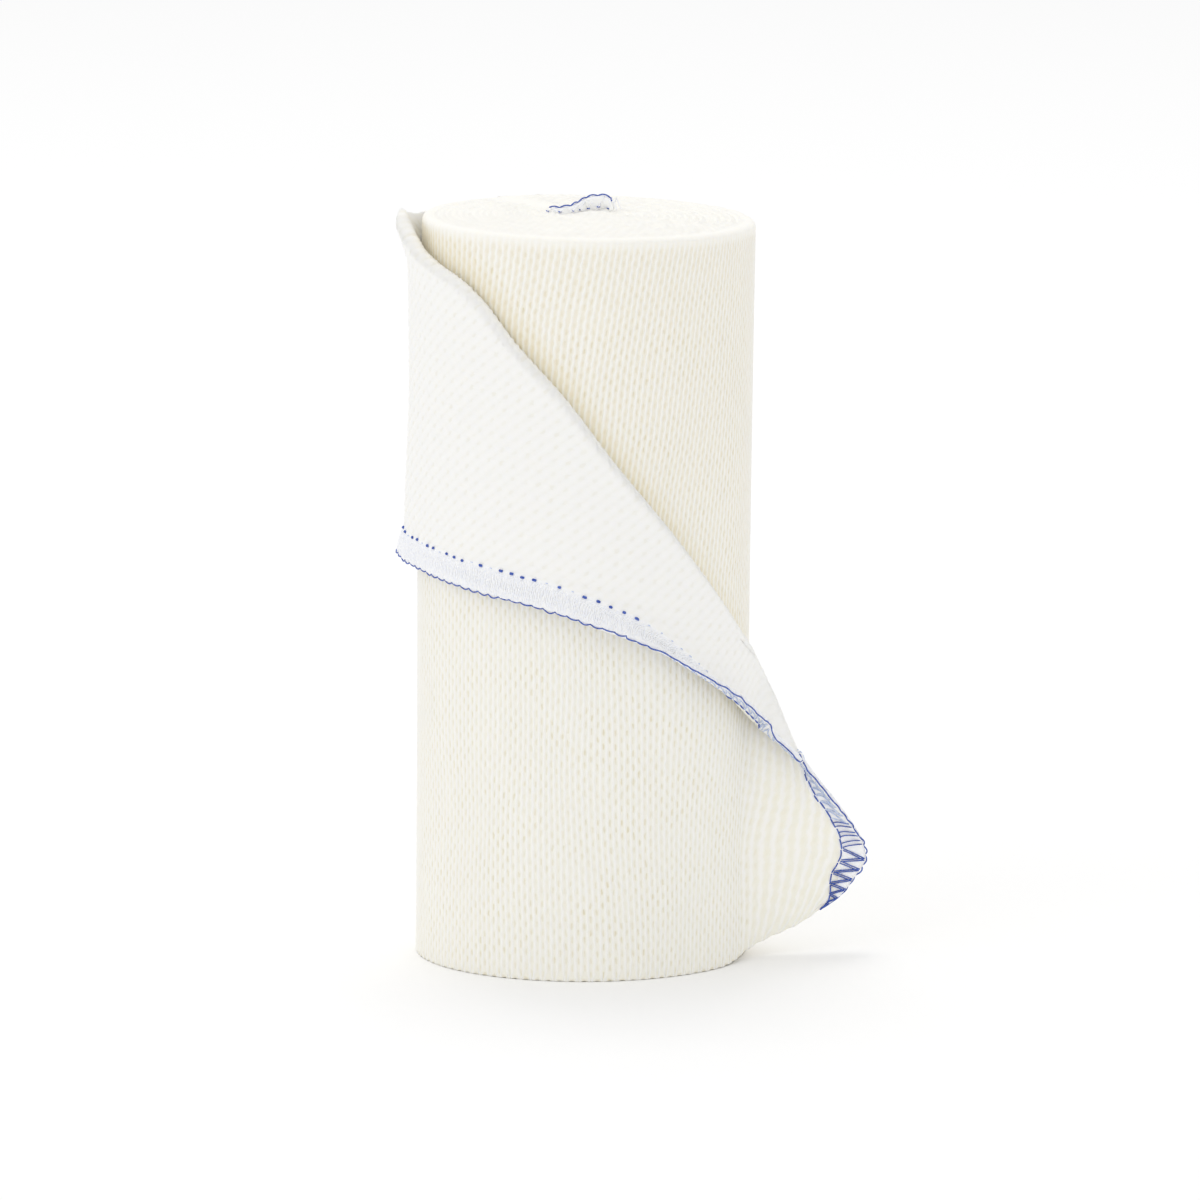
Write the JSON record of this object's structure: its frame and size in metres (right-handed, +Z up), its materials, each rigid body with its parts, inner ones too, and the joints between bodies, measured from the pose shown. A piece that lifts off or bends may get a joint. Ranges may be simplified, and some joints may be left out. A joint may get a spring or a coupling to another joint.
{
  "type": "elastic bandage roll",
  "caption": "Knitted elastic strip wound into a roll that stands on its end, with the overlocked loose end folded down over its front.",
  "frame": {"origin": "centre of the roll's flat foot, on the axis that the strip is wound round", "axes": "+Z up along the roll's axis, -Y to the front where the fold shows, +X to the side where the loose end leaves the roll"},
  "size_m": [0.0949, 0.0735, 0.1527],
  "materials": {
    "knit_outer": "matt ribbed elastic cotton knit, cream",
    "knit_loose": "matt elastic cotton knit, off-white, with a blue and white overlocked hem"
  },
  "bodies": {
    "root": {"roll": "knit_outer", "loose_end": "knit_loose"}
  },
  "joints": []
}
